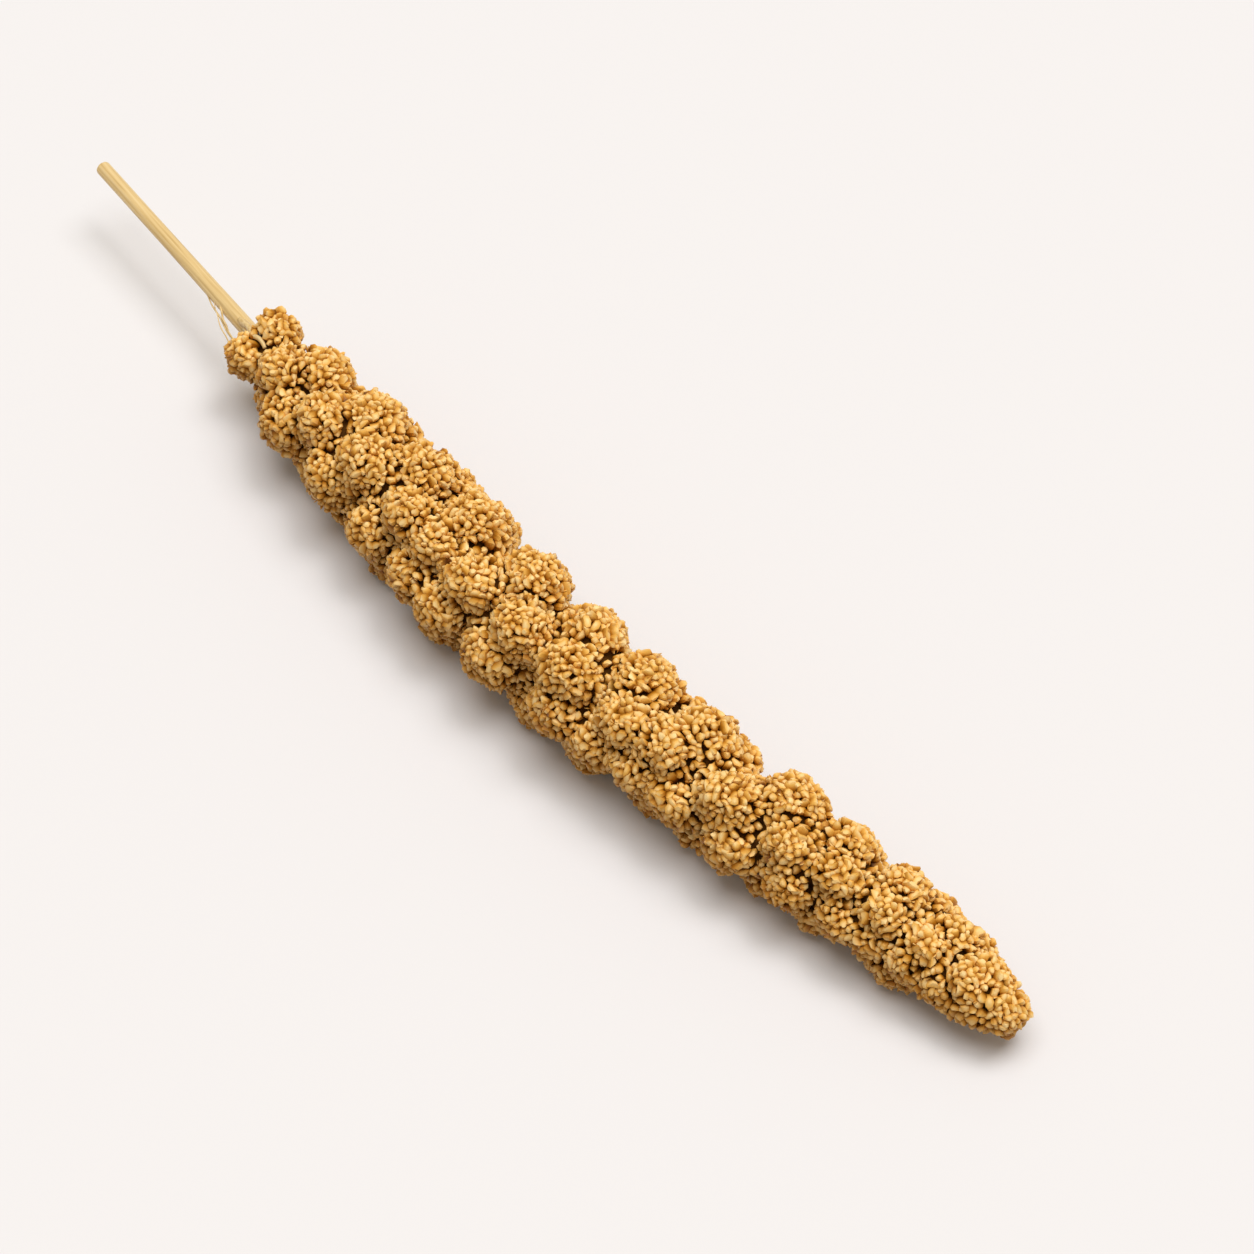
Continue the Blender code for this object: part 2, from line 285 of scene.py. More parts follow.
def ontoSkin(points, steps=3, batch=6000):
    # Newton's steps along the slope towards level nought; hands back the points and the outward normals
    done = []
    for part in np.array_split(points, max(1, len(points) // batch)):
        for _ in range(steps):
            level, slope = skinLevel(part)
            part = part + slope * (level / (slope ** 2).sum(axis=1))[:, None]
        done.append((part, unitRows(skinLevel(part)[1])))
    return np.concatenate([part for part, _ in done]), np.concatenate([normal for _, normal in done])


# The body under the grains, coloured dark as painted shade in the gaps between them
coreSettings = {"rings": 300, "sides": 72, "depth": 2.5, "baseSlant": -0.9, "tipSlant": 2.2}


def coreShape():
    # Grid of (u, turn): the head's outside along each ray, moved in by the depth and kept off the floor,
    # closed by a pole at each end
    s = coreSettings
    length = (fanSettings["tip"] - fanSettings["base"]) / fanSettings["radius"]
    u = np.linspace(s["baseSlant"], length + s["tipSlant"], s["rings"])
    turn = 2 * math.pi * np.arange(s["sides"]) / s["sides"]
    grid = np.stack(np.meshgrid(u, turn, indexing="ij"), axis=2).reshape(-1, 2)
    origin, heading = raysAt(grid[:, 0], grid[:, 1])
    far = reach(origin, heading, skinSettings["sharpness"])
    points, normal = ontoSkin(origin + heading * far[:, None])
    points -= s["depth"] * normal
    first = points[:s["sides"]].mean(axis=0)
    last = points[-s["sides"]:].mean(axis=0)
    points = bend(np.concatenate([[first], points, [last]]))
    points[:, 2] = np.maximum(points[:, 2], s["depth"] / 2)
    return points, tubeFaces(s["rings"], s["sides"])


# Thin strands at the base: three torn fibres beside the stem, and the two first branches, bare in
# the cleft. Each is knots of (station, angle, distance from the rachis) and its radius at both ends
strandSettings = {
    "rings": 24,
    "sides": 6,
    "wobble": 0.16,
    "waves": (5, 12),
    "aside": (0.2, 0.3, 1.0),
    "clear": 0.85,
    "seed": 17,
    "paths": (
        (((-11, -8, 1.5), (-8, -15, 2.2), (-5, -13, 2.8), (-1, -8, 3.5), (3, 0, 4.0)), (0.15, 0.20)),
        (((-8, 5, 1.6), (-6.5, -8, 2.5), (-4, -11, 3.3), (-1, -10, 4.1), (2, -10, 4.8)), (0.10, 0.13)),
        (((-6, 20, 1.65), (-4, 8, 2.4), (-2, 2, 3.0), (0, 0, 3.5), (3, 2, 4.0)), (0.22, 0.16)),
        (((0, 66, 1.2), (3.5, 72, 3.0), (7, 66, 4.4), (9.5, 71, 4.9), (12, 66, 5.2)), (0.85, 0.40)),
        (((1, 52, 1.2), (5, 50, 3.0), (7, 43, 3.9), (9.5, 45, 4.5), (12, 38, 4.8)), (0.50, 0.30)),
    ),
}


def strandLines():
    # The middle lines of all the strands, in head space: curves through the knots, with a slow wobble
    s = strandSettings
    chance = np.random.default_rng(s["seed"])
    t = np.linspace(0, 1, s["rings"])
    lines = []
    for knots, _ in s["paths"]:
        place = np.linspace(0, 1, len(knots))
        station, angle, far = (smooth(t, list(zip(place, values))) for values in zip(*knots))
        turn = np.radians(angle)
        line = np.stack([station, far * np.cos(turn), far * np.sin(turn)], axis=1)
        wave = chance.uniform(*s["waves"], 3) * t[:, None] + chance.uniform(0, 2 * math.pi, 3)
        lines.append(line + s["wobble"] * np.sin(wave) * np.sin(math.pi * t)[:, None])
    return np.concatenate(lines)


def strandShape():
    # Round each middle line rings square to it, their radius going from one end's to the other's
    s = strandSettings
    turn = 2 * math.pi * np.arange(s["sides"]) / s["sides"]
    cosine, sine = np.cos(turn)[None, :, None], np.sin(turn)[None, :, None]
    pointParts, cornerParts, sizeParts, uvParts = [], [], [], []
    start = 0
    for number, line in enumerate(strandLines().reshape(-1, s["rings"], 3)):
        low, high = s["paths"][number][1]
        radius = np.linspace(low, high, s["rings"])
        along = unitRows(np.gradient(line, axis=0))
        first = unitRows(np.cross(along, np.array(s["aside"])))
        second = np.cross(along, first)
        ring = cosine * first[:, None, :] + sine * second[:, None, :]
        tube = line[:, None, :] + radius[:, None, None] * ring
        ends = np.stack([line[0] - along[0] * low / 2, line[-1] + along[-1] * high / 2])
        corners, sizes, uv = tubeFaces(s["rings"], s["sides"])
        pointParts += [ends[:1], tube.reshape(-1, 3), ends[1:]]
        cornerParts.append(corners + start)
        sizeParts.append(sizes)
        uvParts.append((uv + [number, 0]) * [1 / len(s["paths"]), 1])
        start += len(tube.reshape(-1, 3)) + 2
    faces = (np.concatenate(cornerParts), np.concatenate(sizeParts), np.concatenate(uvParts))
    return bend(np.concatenate(pointParts)), faces


# The grains, one closed body each
grainSettings = {
    "seed": 23,
    "pieces": 5,
    # Where they stand: counts and millimetres, with closest and fill as shares of the spacing
    "spacing": 1.60,
    "closest": 0.82,
    "crowd": 5,
    "rays": 40000,
    "hidden": 2.2,
    "deepest": 4.6,
    "raySharpness": 50,
    "relaxing": 4,
    "pushers": 6,
    "push": 0.35,
    "leastGap": 0.1,
    "fill": 0.70,
    "baseBare": 13.0,
    "baseRadius": 3.9,
    # The shape of one grain; a pair of numbers is a range from which each grain draws its own
    "neighbours": 4,
    "room": (0.86, 1.25),
    "width": 0.535,
    "tall": 1.5,
    "tallSpread": (0.88, 1.15),
    "lift": 0.36,
    "tilt": 0.34,
    "towardsTip": 0.12,
    "long": 0.40,
    "longStretch": (1.25, 1.75),
    "longNarrow": (0.82, 0.95),
    "roundStretch": (0.95, 1.16),
    "roundNarrow": (0.88, 1.0),
    "bow": 0.35,
    "lump": 0.09,
    "lumpShare": (0.3, 1),
    "boxy": (2.4, 5.5),
    "boxTilt": 0.22,
    "boxGrowth": 1.05,
    "facets": 5,
    "facetDepth": (0.62, 0.90),
    "facetRise": 0.5,
    "flatTop": (0.70, 0.88),
    "topLean": 0.22,
    "leastCosine": 0.05,
    "leastRadius": 0.5,
    "edge": 33.0,
    "sides": 8,
    "polar": (30, 62, 96, 136),
    "atlasMargin": 0.06,
    "toneSpread": 0.11,
    # The way towards the key light, for painted shade on the grains' far side
    "keyLightSide": (0.0, 0.5, 0.85),
}


def scatterOnBodies(chance):
    # Random points on each ball, stretched along the stem, kept where no other body covers them by much,
    # and the far ends of random rays, which fill the creases
    s = grainSettings
    stretch = np.array([lobeSettings["stretch"], 1, 1])
    points = []
    for number, body in enumerate(bodies):
        count = int(4 * math.pi * body[3] ** 2 * stretch[0] / s["spacing"] ** 2 * s["crowd"])
        spots = body[:3] + body[3] * unitRows(chance.normal(size=(count, 3))) * stretch
        others = np.delete(bodies, number, axis=0)
        away = (spots[:, None, :] - others[None, :, :3]) / stretch
        spots = spots[(np.linalg.norm(away, axis=2) > others[None, :, 3] - s["hidden"]).all(axis=1)]
        origin, heading, far = raysThrough(spots)
        points.append(spots[far > reach(origin, heading, s["raySharpness"]) - s["deepest"]])
    length = (fanSettings["tip"] - fanSettings["base"]) / fanSettings["radius"]
    u = chance.uniform(coreSettings["baseSlant"], length + coreSettings["tipSlant"], s["rays"])
    origin, heading = raysAt(u, chance.uniform(0, 2 * math.pi, s["rays"]))
    points.append(origin + heading * reach(origin, heading, skinSettings["sharpness"])[:, None])
    return ontoSkin(np.concatenate(points), 2)[0]


def treeOf(points):
    tree = KDTree(len(points))
    for number, point in enumerate(points):
        tree.insert(point, number)
    tree.balance()
    return tree


def thinOut(points, gap, chance):
    # Points in random order, each kept one clears away what is nearer than the gap
    tree = treeOf(points)
    free = np.ones(len(points), bool)
    kept = []
    for number in chance.permutation(len(points)):
        if free[number]:
            kept.append(number)
            for _, near, _ in tree.find_range(points[number], gap):
                free[near] = False
    return np.array(kept)


def neighbours(points, count):
    # Numbers and distances of the nearest other points
    tree = treeOf(points)
    found = [tree.find_n(point, count + 1)[1:] for point in points]
    near = np.array([[hit[1] for hit in hits] for hits in found])
    far = np.array([[hit[2] for hit in hits] for hits in found])
    return near, far


def placeGrains(chance):
    # Scatter, thin out, let the grains push each other apart along the skin, fill the gaps left open,
    # and clear the stem and the strands
    s = grainSettings
    spots = scatterOnBodies(chance)
    print("grain candidates:", len(spots))
    points = spots[thinOut(spots, s["spacing"] * s["closest"], chance)]
    for _ in range(s["relaxing"]):
        near, far = neighbours(points, s["pushers"])
        away = points[:, None, :] - points[near]
        push = np.clip(s["spacing"] - far, 0, None) / np.maximum(far, s["leastGap"])
        points = points + s["push"] * (away * push[:, :, None]).sum(axis=1)
        points = ontoSkin(points, 1)[0]
    tree = treeOf(points)
    spots = spots[np.array([tree.find(spot)[2] for spot in spots]) > s["fill"] * s["spacing"]]
    points = np.concatenate([points, spots[thinOut(spots, s["fill"] * s["spacing"], chance)]])
    points, normal = ontoSkin(points, 1)
    stay = (points[:, 0] > s["baseBare"]) | (np.hypot(points[:, 1], points[:, 2]) > s["baseRadius"])
    tree = treeOf(strandLines())
    stay &= np.array([tree.find(point)[2] for point in points]) > strandSettings["clear"]
    return points[stay], normal[stay]


def grainDirections():
    # Unit directions of one grain's vertices: top pole, rings by polar angle, bottom pole
    s = grainSettings
    polar = np.radians(s["polar"])[:, None]
    turn = (2 * math.pi * np.arange(s["sides"]) / s["sides"])[None, :]
    out = np.sin(polar)
    rings = np.stack([out * np.cos(turn), out * np.sin(turn), np.cos(polar) + 0 * turn], axis=2)
    return np.concatenate([[[0, 0, 1]], rings.reshape(-1, 3), [[0, 0, -1]]])


def boxRadius(chance, count, ways):
    # Radius of a rounded box along each way: one over the p-norm of the way on the box's own axes,
    # which are turned at random about the grain's axis and leaned a little
    s = grainSettings
    turn = chance.uniform(0, 2 * math.pi, count)
    cosine, sine, zero = np.cos(turn), np.sin(turn), 0 * turn
    turned = np.stack([cosine, -sine, zero, sine, cosine, zero, zero, zero, zero + 1], axis=1)
    turned = turned.reshape(count, 3, 3) + s["boxTilt"] * chance.normal(size=(count, 3, 3))
    turned = np.linalg.qr(turned)[0]
    power = chance.uniform(*s["boxy"], (count, 1))
    norm = (np.abs(np.einsum("gij,vj->gvi", turned, ways)) ** power[:, :, None]).sum(axis=2)
    return s["boxGrowth"] * norm ** (-1 / power)


def cutFlat(radius, ways, facing, limit):
    # A plane at the limit along the facing cuts the body: radius at most the limit over the cosine
    s = grainSettings
    cosine = np.maximum(facing @ ways.T, s["leastCosine"])
    return np.minimum(radius, np.maximum(limit / cosine, s["leastRadius"]))


def bendBodies(vertices):
    # Onto the stem's line, each body lifted as a whole where it would go through the floor
    vertices = bend(vertices.reshape(-1, 3)).reshape(vertices.shape)
    vertices[:, :, 2] -= np.minimum(vertices[:, :, 2].min(axis=1, keepdims=True), 0)
    return vertices


def growGrains(chance, points, normal, near, far):
    # Each grain: a rounded box on its own axes, its radius changed by low waves and cut flat on a few
    # sides and the top; a long one turns its long axis to the nearest neighbour and may be bowed
    s = grainSettings
    count = len(points)
    room = np.clip(far.mean(axis=1) / s["spacing"], *s["room"]) * s["spacing"]
    axis = normal + s["tilt"] * chance.normal(size=(count, 3)) + s["towardsTip"] * np.array([1, 0, 0])
    axis = unitRows(axis)
    longOne = chance.uniform(size=count) < s["long"]
    aim = np.where(longOne[:, None], points[near[:, 0]] - points, chance.normal(size=(count, 3)))
    first = unitRows(aim - (aim * axis).sum(axis=1, keepdims=True) * axis)
    second = np.cross(axis, first)
    half = s["width"] * room
    drawn = [chance.uniform(*s[name], count) for name in ("longStretch", "roundStretch")]
    stretch = np.where(longOne, *drawn)
    drawn = [chance.uniform(*s[name], count) for name in ("longNarrow", "roundNarrow")]
    narrow = np.where(longOne, *drawn)
    tall = s["tall"] * chance.uniform(*s["tallSpread"], count)
    size = half[:, None] * np.stack([stretch, narrow, tall], axis=1)
    ways = grainDirections()
    turn = np.arctan2(ways[:, 1], ways[:, 0])[None, :]
    out = np.hypot(ways[:, 0], ways[:, 1])[None, :]
    wave = chance.uniform(0, 2 * math.pi, (3, count, 1))
    deep = s["lump"] * chance.uniform(*s["lumpShare"], (3, count, 1))
    radius = 1 + deep[0] * np.cos(2 * turn + wave[0]) * out ** 2
    radius = radius + deep[1] * np.cos(3 * turn + wave[1]) * out ** 3
    radius = radius + deep[2] * np.cos(turn + wave[2]) * out * ways[None, :, 2]
    radius = radius * boxRadius(chance, count, ways)
    for _ in range(s["facets"]):
        facing = unitRows(chance.normal(size=(count, 3)) + np.array([0, 0, s["facetRise"]]))
        radius = cutFlat(radius, ways, facing, chance.uniform(*s["facetDepth"], (count, 1)))
    facing = unitRows(np.array([0, 0, 1]) + s["topLean"] * chance.normal(size=(count, 3)))
    radius = cutFlat(radius, ways, facing, chance.uniform(*s["flatTop"], (count, 1)))
    local = ways[None, :, :] * radius[:, :, None] * size[:, None, :]
    bow = np.where(longOne, chance.uniform(-s["bow"], s["bow"], count), 0)[:, None]
    local[:, :, 1] += bow * local[:, :, 0] ** 2 / half[:, None]
    lift = s["lift"] * chance.uniform(-1, 1, count)
    centre = points + normal * (lift - size[:, 2])[:, None]
    axes = np.stack([first, second, axis], axis=1)
    vertices = bendBodies(centre[:, None, :] + np.einsum("gvk,gkx->gvx", local, axes))
    # Height on the grain, root to top: the material paints shade at the root and a highlight at the top
    depth = (1 + ways[None, :, 2] + 0 * radius) / 2
    return vertices, depth


def grainAtlas(count, uv):
    # Each body's own unwrapping, shrunk into its cell of a square atlas
    across = math.ceil(math.sqrt(count))
    cell = np.stack([np.arange(count) % across, np.arange(count) // across], axis=1)
    margin = grainSettings["atlasMargin"]
    inside = margin + (1 - 2 * margin) * uv[None, :, :]
    return (cell[:, None, :] + inside) / across


def lightFacingShare(points, normal):
    # How far each outward direction, once bent, points towards the key light, for painted shade on the
    # side turned away from it: between minus one and one
    side = np.array(grainSettings["keyLightSide"])
    return unitRows(bend(points + normal) - bend(points)) @ side / np.linalg.norm(side)


def buildBodies(name, vertices, rings, sides, values):
    # One piece of many closed bodies that share their faces' pattern, with values for each vertex
    corners, sizes, uv = tubeFaces(rings, sides, flip=True)
    count, perBody, _ = vertices.shape
    shift = perBody * np.arange(count)[:, None]
    piece = buildMesh(
        name,
        vertices.reshape(-1, 3),
        (corners[None, :] + shift).ravel(),
        np.tile(sizes, count),
        grainAtlas(count, uv).reshape(-1, 2),
        values,
    )
    piece.data.set_sharp_from_angle(angle=math.radians(grainSettings["edge"]))
    finishPiece(piece, grainMaterial, "seed_head")
    print(name, "bodies:", count, "triangles:", count * (sizes - 2).sum())


def buildGrains():
    s = grainSettings
    chance = np.random.default_rng(s["seed"])
    points, normal = placeGrains(chance)
    near, far = neighbours(points, s["neighbours"])
    vertices, depth = growGrains(chance, points, normal, near, far)
    tone = np.clip(0.5 + s["toneSpread"] * chance.normal(size=len(points)), 0, 1)
    # Facing towards the key light, for painted shade on each grain's far side
    lightFacing = lightFacingShare(points, normal)
    perGrain = vertices.shape[1]
    for number, part in enumerate(np.array_split(np.argsort(points[:, 0]), s["pieces"])):
        values = {
            "tone": np.repeat(tone[part], perGrain),
            "depth": depth[part].ravel(),
            "lightFacing": np.repeat(lightFacing[part], perGrain),
        }
        buildBodies(f"grains_{number + 1}", vertices[part], len(s["polar"]), s["sides"], values)
    return points, normal, near


# Husk flakes, each wedged between a grain and one of its neighbours, where 0 is the nearest
flakeSettings = {
    "seed": 41,
    "share": 0.42,
    "neighbour": 2,
    "root": 1.5,
    "rise": (-0.35, 0.30),
    "lean": 0.34,
    "twist": 0.3,
    "width": (0.34, 0.62),
    "thick": 0.075,
    "cup": 0.16,
    "sides": 4,
    "along": (0.16, 0.5, 0.82),
    "profile": (0.55, 1.0, 0.66),
    "tone": (0.45, 0.85),
    "depthStart": 0.25,
    "depthShare": 0.65,
}


def buildFlakes(points, normal, near):
    # Each flake: a flat four-sided spindle from below the skin to about the grains' tops, half way
    # between two grains, its flat side to them, cupped and bowed
    s = flakeSettings
    chance = np.random.default_rng(s["seed"])
    chosen = np.flatnonzero(chance.uniform(size=len(points)) < s["share"])
    other = near[chosen, s["neighbour"]]
    middle = (points[chosen] + points[other]) / 2
    outward = unitRows(normal[chosen] + normal[other])
    count = len(chosen)
    axis = unitRows(outward + s["lean"] * chance.normal(size=(count, 3)))
    thin = points[other] - points[chosen]
    thin = thin - (thin * axis).sum(axis=1, keepdims=True) * axis
    thin = unitRows(thin + s["twist"] * chance.normal(size=(count, 3)))
    wide = unitRows(np.cross(axis, thin))
    thin = np.cross(wide, axis)
    rise = chance.uniform(*s["rise"], count)
    length = s["root"] + rise
    width = chance.uniform(*s["width"], count)
    cup = s["cup"] * chance.uniform(-1, 1, count)
    t = np.array([0, *s["along"], 1])
    profile = np.array([0, *s["profile"], 0])
    turn = 2 * math.pi * np.arange(s["sides"]) / s["sides"]
    across = profile[1:-1, None] * np.cos(turn)
    level = np.sin(turn) * s["thick"] + 0 * across
    hollow = profile[1:-1, None] * (1 - np.cos(turn) ** 2)
    bow = (2 * t - 1) ** 2
    start = middle - outward * s["root"]
    line = start[:, None, :] + (t[None, :] * length[:, None])[:, :, None] * axis[:, None, :]
    line = line + (cup[:, None] * bow)[:, :, None] * thin[:, None, :]
    sideways = (width[:, None, None] * across)[..., None] * wide[:, None, None, :]
    upright = (level[None] + cup[:, None, None] * hollow[None])[..., None] * thin[:, None, None, :]
    rings = (line[:, 1:-1, None, :] + sideways + upright).reshape(count, -1, 3)
    vertices = bendBodies(np.concatenate([line[:, :1], rings, line[:, -1:]], axis=1))
    perFlake = vertices.shape[1]
    # Height along the flake, which the grain material turns into painted shade low down and a painted
    # highlight at the tip
    depth = np.concatenate([[0], np.repeat(t[1:-1], s["sides"]), [1]])
    values = {
        "tone": np.repeat(chance.uniform(*s["tone"], count), perFlake),
        "depth": np.tile(s["depthStart"] + s["depthShare"] * depth, count),
        "lightFacing": np.repeat(lightFacingShare(middle, outward), perFlake),
    }
    buildBodies("husk_flakes", vertices, len(s["along"]), s["sides"], values)


# The stem and the rachis that it becomes inside the head
stemSettings = {
    "first": -52.6,
    "last": 204.0,
    "shownTo": 26.0,
    "fineStep": 0.7,
    "coarseStep": 9.0,
    "radius": ((-52.6, 1.55), (-20, 1.6), (0, 1.75), (60, 1.5), (140, 1.1), (204, 0.6)),
    "rounding": 0.4,
    "capAngles": (75, 50, 25),
    "dish": 0.12,
    "dishRings": (0.35, 0.7),
    "sides": 48,
    "grooves": ((7, 0.016), (11, 0.012), (17, 0.010)),
    "grooveStart": (0, 6.28),
    "twist": 0.002,
    "seed": 5,
}


def stemShape():
    # Profile radius along the line, times one plus a few waves round it that drift along the stem;
    # the cut end is rounded over by a quarter circle and dished a little
    s = stemSettings
    chance = np.random.default_rng(s["seed"])
    fine = np.arange(s["first"], s["shownTo"], s["fineStep"])
    coarse = np.arange(s["shownTo"], s["last"], s["coarseStep"])
    station = np.concatenate([fine, coarse, [s["last"]]])
    radius = smooth(station, s["radius"])
    cut = s["first"] - s["rounding"]
    quarter = np.radians(np.array(s["capAngles"]))
    capStation = s["first"] - s["rounding"] * np.sin(quarter)
    capRadius = radius[0] - s["rounding"] * (1 - np.cos(quarter))
    rim = np.array(s["dishRings"])
    station = np.concatenate([cut + s["dish"] * (1 - rim), capStation, station])
    radius = np.concatenate([(radius[0] - s["rounding"]) * rim, capRadius, radius])
    turn = 2 * math.pi * np.arange(s["sides"]) / s["sides"]
    grooved = np.ones((len(station), s["sides"]))
    for waves, deep in s["grooves"]:
        start = chance.uniform(*s["grooveStart"])
        drift = start + s["twist"] * station[:, None] * chance.uniform(-1, 1)
        grooved += deep * np.cos(waves * turn[None, :] + drift)
    ring = np.stack([0 * turn, np.cos(turn), np.sin(turn)], axis=1)
    points = (radius[:, None] * grooved)[:, :, None] * ring[None, :, :]
    points[:, :, 0] += station[:, None]
    ends = np.array([[cut + s["dish"], 0, 0], [s["last"] + s["rounding"], 0, 0]])
    points = np.concatenate([ends[:1], points.reshape(-1, 3), ends[1:]])
    return bend(points), tubeFaces(len(station), s["sides"])


def newGroup(name, inputs, outputs):
    # A shader group with its sockets, its input node and its output node
    group = bpy.data.node_groups.new(name, "ShaderNodeTree")
    for label, kind, value in inputs:
        socket = group.interface.new_socket(label, in_out="INPUT", socket_type=kind)
        if value is not None:
            socket.default_value = value
    for label, kind in outputs:
        group.interface.new_socket(label, in_out="OUTPUT", socket_type=kind)
    return group, group.nodes.new("NodeGroupInput"), group.nodes.new("NodeGroupOutput")


def addNode(tree, kind, **values):
    node = tree.nodes.new(kind)
    for label, value in values.items():
        setattr(node, label, value)
    return node


def feed(tree, socket, value):
    # Links another socket to this one, or sets a plain value on it
    if isinstance(value, bpy.types.NodeSocket):
        tree.links.new(value, socket)
    else:
        socket.default_value = value


def mixColours(tree, factor, first, second, mode="MIX"):
    node = addNode(tree, "ShaderNodeMix", data_type="RGBA", blend_type=mode)
    for number, value in ((0, factor), (6, first), (7, second)):
        feed(tree, node.inputs[number], value)
    return node.outputs[2]


def mathNode(tree, operation, *values):
    node = addNode(tree, "ShaderNodeMath", operation=operation)
    for socket, value in zip(node.inputs, values):
        feed(tree, socket, value)
    return node.outputs[0]


def makeMottleGroup():
    # Soft blotches about a middle of one half, from noise on the given coordinates
    inputs = (
        ("Vector", "NodeSocketVector", None),
        ("Scale", "NodeSocketFloat", 400.0),
        ("Spread", "NodeSocketFloat", 1.0),
    )
    group, start, end = newGroup("mottle", inputs, (("Value", "NodeSocketFloat"),))
    noise = addNode(group, "ShaderNodeTexNoise")
    noise.inputs["Detail"].default_value = 3.0
    group.links.new(start.outputs["Vector"], noise.inputs["Vector"])
    group.links.new(start.outputs["Scale"], noise.inputs["Scale"])
    centred = mathNode(group, "SUBTRACT", noise.outputs["Fac"], 0.5)
    spread = mathNode(group, "MULTIPLY", centred, start.outputs["Spread"])
    group.links.new(mathNode(group, "ADD", spread, 0.5), end.inputs["Value"])
    return group


def useMottle(tree, group, vector, scale, spread):
    node = addNode(tree, "ShaderNodeGroup", node_tree=group)
    tree.links.new(vector, node.inputs["Vector"])
    node.inputs["Scale"].default_value = scale
    node.inputs["Spread"].default_value = spread
    return node.outputs["Value"]


def attributeOf(tree, name):
    return addNode(tree, "ShaderNodeAttribute", attribute_name=name).outputs["Fac"]


def addBump(tree, shader, height, s):
    bump = addNode(tree, "ShaderNodeBump")
    bump.inputs["Strength"].default_value = s["bump"]
    bump.inputs["Distance"].default_value = s["bumpDistance"]
    tree.links.new(height, bump.inputs["Height"])
    tree.links.new(bump.outputs["Normal"], shader.inputs["Normal"])


def rampOf(tree, value, stops):
    node = addNode(tree, "ShaderNodeValToRGB")
    ramp = node.color_ramp
    while len(ramp.elements) < len(stops):
        ramp.elements.new(0.5)
    for element, (place, colour) in zip(ramp.elements, stops):
        element.position = place
        element.color = (*colour, 1)
    tree.links.new(value, node.inputs["Fac"])
    return node.outputs["Color"]


def newMaterial(name):
    material = bpy.data.materials.new(name)
    material.use_nodes = True
    tree = material.node_tree
    return material, tree, tree.nodes["Principled BSDF"]


mottle = makeMottleGroup()

grainFinish = {
    # Painted shade at the roots, the grain's own gold between, a painted highlight on the tops
    "stops": (
        (0.22, (0.12, 0.030, 0.001)),
        (0.48, (0.46, 0.175, 0.010)),
        (0.72, (0.80, 0.435, 0.090)),
        (0.95, (0.95, 0.71, 0.335)),
    ),
    "shares": (0.78, 0.30, 0.16),
    "shift": -0.112,
    "blotch": (900.0, 0.5),
    # Painted shade on the side turned from the key light: its tint, and the facing values where it is
    # full and where it ends
    "paintedShadeTint": (0.58, 0.50, 0.40),
    "paintedShadeTo": -0.65,
    "unshadedFrom": 0.6,
    "specular": 0.28,
    "specularTint": (1.0, 0.84, 0.60),
    "roughness": 0.36,
    "pores": (2600.0, 1.0),
    "bump": 0.35,
    "bumpDistance": 0.0002,
}


def makeGrainMaterial():
    # From brown at each grain's root, painted shade, to pale gold at its top, a painted highlight,
    # shifted by its own tone and by blotches, and darkened by painted shade on the side turned from the
    # key light
    s = grainFinish
    material, tree, shader = newMaterial("golden_grain")
    place = addNode(tree, "ShaderNodeTexCoord").outputs["Object"]
    tone = attributeOf(tree, "tone")
    # Height on the grain, for painted shade at its root and a painted highlight on its top
    depth = attributeOf(tree, "depth")
    blotch = useMottle(tree, mottle, place, *s["blotch"])
    mixed = s["shift"]
    for value, share in zip((depth, tone, blotch), s["shares"]):
        mixed = mathNode(tree, "MULTIPLY_ADD", value, share, mixed)
    colour = rampOf(tree, mixed, s["stops"])
    # Painted shade: full on the side turned from the key light, none on the side facing it
    side = addNode(tree, "ShaderNodeMapRange", interpolation_type="SMOOTHSTEP")
    tree.links.new(attributeOf(tree, "lightFacing"), side.inputs["Value"])
    side.inputs["From Min"].default_value = s["paintedShadeTo"]
    side.inputs["From Max"].default_value = s["unshadedFrom"]
    tint = mixColours(tree, side.outputs["Result"], (*s["paintedShadeTint"], 1), (1.0, 1.0, 1.0, 1.0))
    colour = mixColours(tree, 1.0, colour, tint, "MULTIPLY")
    tree.links.new(colour, shader.inputs["Base Color"])
    shader.inputs["Roughness"].default_value = s["roughness"]
    shader.inputs["Specular IOR Level"].default_value = s["specular"]
    shader.inputs["Specular Tint"].default_value = (*s["specularTint"], 1)
    addBump(tree, shader, useMottle(tree, mottle, place, *s["pores"]), s)
    return material


coreFinish = {
    "stops": ((0.2, (0.05, 0.015, 0.001)), (0.8, (0.14, 0.052, 0.005))),
    "blotch": (500.0, 1.6),
    "roughness": 0.8,
    "specular": 0.1,
}


def makeCoreMaterial():
    # Dull dark brown blotches, a painted shade for the gaps between the grains
    s = coreFinish
    material, tree, shader = newMaterial("painted_shade_core")
    place = addNode(tree, "ShaderNodeTexCoord").outputs["Object"]
    colour = rampOf(tree, useMottle(tree, mottle, place, *s["blotch"]), s["stops"])
    tree.links.new(colour, shader.inputs["Base Color"])
    shader.inputs["Roughness"].default_value = s["roughness"]
    shader.inputs["Specular IOR Level"].default_value = s["specular"]
    return material


strawFinish = {
    "stops": ((0.15, (0.52, 0.33, 0.11)), (0.5, (0.71, 0.505, 0.22)), (0.85, (0.79, 0.61, 0.32))),
    "streak": (1800.0, 1.5),
    "streakLength": 30.0,
    "streakTurn": (0.0, 1.7, -4.0),
    "roughness": 0.45,
    "bump": 0.3,
    "bumpDistance": 0.0001,
}


